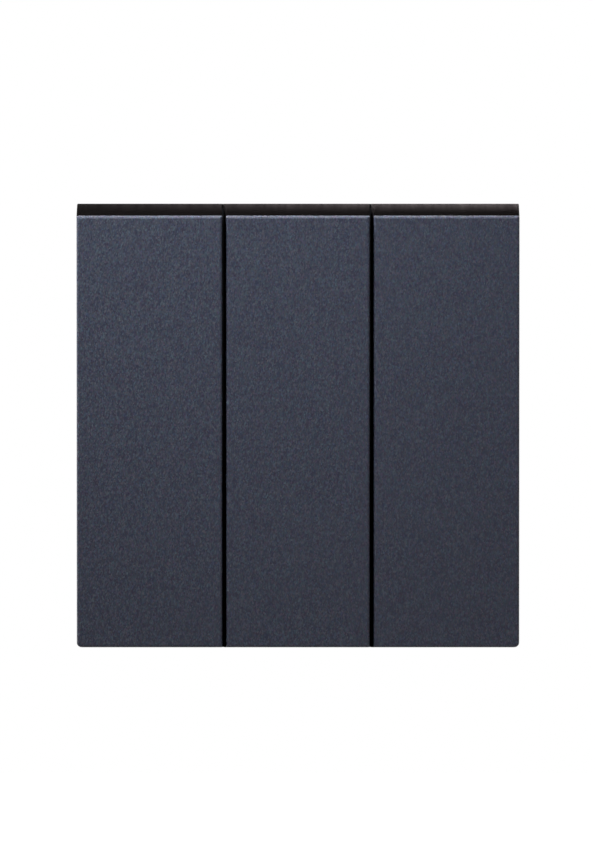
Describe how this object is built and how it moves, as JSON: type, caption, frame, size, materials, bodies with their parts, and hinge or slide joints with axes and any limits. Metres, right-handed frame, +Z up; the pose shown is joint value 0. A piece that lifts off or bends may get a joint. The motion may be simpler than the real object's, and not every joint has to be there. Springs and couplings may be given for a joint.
{
  "type": "three-gang rocker switch cover module",
  "caption": "Snap-in wall switch module with narrow lacquered rocker caps side by side, each tilting on its own cradle over a see-saw contact.",
  "frame": {"origin": "centre of the plane in which the rest pads lie on the support frame", "axes": "+X to the right seen from the front, +Y into the wall, +Z up"},
  "size_m": [0.045, 0.0366, 0.0451],
  "materials": {
    "anthracite_lacquer": "satin metallic anthracite lacquer on moulded plastic, bare black-brown plastic on the skirts",
    "black_plastic": "moulded, fine matt grain",
    "grey_plastic": "moulded, matt",
    "white_acetal": "moulded, smooth",
    "orange_plastic": "moulded, matt",
    "copper": "stamped copper alloy, bright",
    "silver": "headed contact silver",
    "spring_steel": "bright spring steel"
  },
  "bodies": {
    "base": {"module_frame": "black_plastic", "base_housing": "grey_plastic", "line_busbar": "copper", "output_terminal_left": "copper", "output_terminal_middle": "copper", "output_terminal_right": "copper", "fixed_contact_left": "silver", "fixed_contact_middle": "silver", "fixed_contact_right": "silver", "output_clamp_left": "spring_steel", "output_clamp_middle": "spring_steel", "output_clamp_right": "spring_steel", "line_clamp_left": "spring_steel", "line_clamp_right": "spring_steel"},
    "left_rocker": {"rocker_cap_left": "anthracite_lacquer", "rocker_cradle_left": "grey_plastic", "plunger_spring_left": "spring_steel"},
    "middle_rocker": {"rocker_cap_middle": "anthracite_lacquer", "rocker_cradle_middle": "grey_plastic", "plunger_spring_middle": "spring_steel"},
    "right_rocker": {"rocker_cap_right": "anthracite_lacquer", "rocker_cradle_right": "grey_plastic", "plunger_spring_right": "spring_steel"},
    "left_plunger": {"plunger_left": "white_acetal"},
    "middle_plunger": {"plunger_middle": "white_acetal"},
    "right_plunger": {"plunger_right": "white_acetal"},
    "left_seesaw": {"contact_rocker_left": "copper", "moving_contact_left": "silver"},
    "middle_seesaw": {"contact_rocker_middle": "copper", "moving_contact_middle": "silver"},
    "right_seesaw": {"contact_rocker_right": "copper", "moving_contact_right": "silver"},
    "left_output_button": {"output_release_left": "orange_plastic"},
    "middle_output_button": {"output_release_middle": "orange_plastic"},
    "right_output_button": {"output_release_right": "orange_plastic"},
    "left_line_button": {"line_release_left": "orange_plastic"},
    "right_line_button": {"line_release_right": "orange_plastic"}
  },
  "joints": [
    {"name": "left_rocker_tilt", "type": "hinge", "parent": "base", "child": "left_rocker", "pos_m": [-0.0151, -0.00417, 0], "axis": [1, 0, 0], "range_deg": [-10, 0]},
    {"name": "middle_rocker_tilt", "type": "hinge", "parent": "base", "child": "middle_rocker", "pos_m": [0, -0.00417, 0], "axis": [1, 0, 0], "range_deg": [-10, 0]},
    {"name": "right_rocker_tilt", "type": "hinge", "parent": "base", "child": "right_rocker", "pos_m": [0.0151, -0.00417, 0], "axis": [1, 0, 0], "range_deg": [-10, 0]},
    {"name": "left_plunger_slide", "type": "slide", "parent": "left_rocker", "child": "left_plunger", "axis": [0, 0.9962, 0.0872], "range_m": [-0.0012, 0], "stiffness_N_per_m": 400, "springref_m": 0.002, "deforming": ["plunger_spring_left"]},
    {"name": "middle_plunger_slide", "type": "slide", "parent": "middle_rocker", "child": "middle_plunger", "axis": [0, 0.9962, 0.0872], "range_m": [-0.0012, 0], "stiffness_N_per_m": 400, "springref_m": 0.002, "deforming": ["plunger_spring_middle"]},
    {"name": "right_plunger_slide", "type": "slide", "parent": "right_rocker", "child": "right_plunger", "axis": [0, 0.9962, 0.0872], "range_m": [-0.0012, 0], "stiffness_N_per_m": 400, "springref_m": 0.002, "deforming": ["plunger_spring_right"]},
    {"name": "left_seesaw_tilt", "type": "hinge", "parent": "base", "child": "left_seesaw", "pos_m": [-0.0151, 0.00833, 0], "axis": [1, 0, 0], "range_deg": [-0.2, 14.2]},
    {"name": "middle_seesaw_tilt", "type": "hinge", "parent": "base", "child": "middle_seesaw", "pos_m": [0, 0.00833, 0], "axis": [1, 0, 0], "range_deg": [-0.2, 14.2]},
    {"name": "right_seesaw_tilt", "type": "hinge", "parent": "base", "child": "right_seesaw", "pos_m": [0.0151, 0.00833, 0], "axis": [1, 0, 0], "range_deg": [-0.2, 14.2]},
    {"name": "left_output_press", "type": "slide", "parent": "base", "child": "left_output_button", "axis": [0, -1, 0], "range_m": [0, 0.0014], "stiffness_N_per_m": 800, "springref_m": -0.001, "deforming": ["output_clamp_left"]},
    {"name": "middle_output_press", "type": "slide", "parent": "base", "child": "middle_output_button", "axis": [0, -1, 0], "range_m": [0, 0.0014], "stiffness_N_per_m": 800, "springref_m": -0.001, "deforming": ["output_clamp_middle"]},
    {"name": "right_output_press", "type": "slide", "parent": "base", "child": "right_output_button", "axis": [0, -1, 0], "range_m": [0, 0.0014], "stiffness_N_per_m": 800, "springref_m": -0.001, "deforming": ["output_clamp_right"]},
    {"name": "left_line_press", "type": "slide", "parent": "base", "child": "left_line_button", "axis": [0, -1, 0], "range_m": [0, 0.0014], "stiffness_N_per_m": 800, "springref_m": -0.001, "deforming": ["line_clamp_left"]},
    {"name": "right_line_press", "type": "slide", "parent": "base", "child": "right_line_button", "axis": [0, -1, 0], "range_m": [0, 0.0014], "stiffness_N_per_m": 800, "springref_m": -0.001, "deforming": ["line_clamp_right"]}
  ],
  "couplings": [
    {"joint": "left_seesaw_tilt", "follows": "left_rocker_tilt", "ratio": -1.4},
    {"joint": "middle_seesaw_tilt", "follows": "middle_rocker_tilt", "ratio": -1.4},
    {"joint": "right_seesaw_tilt", "follows": "right_rocker_tilt", "ratio": -1.4}
  ]
}
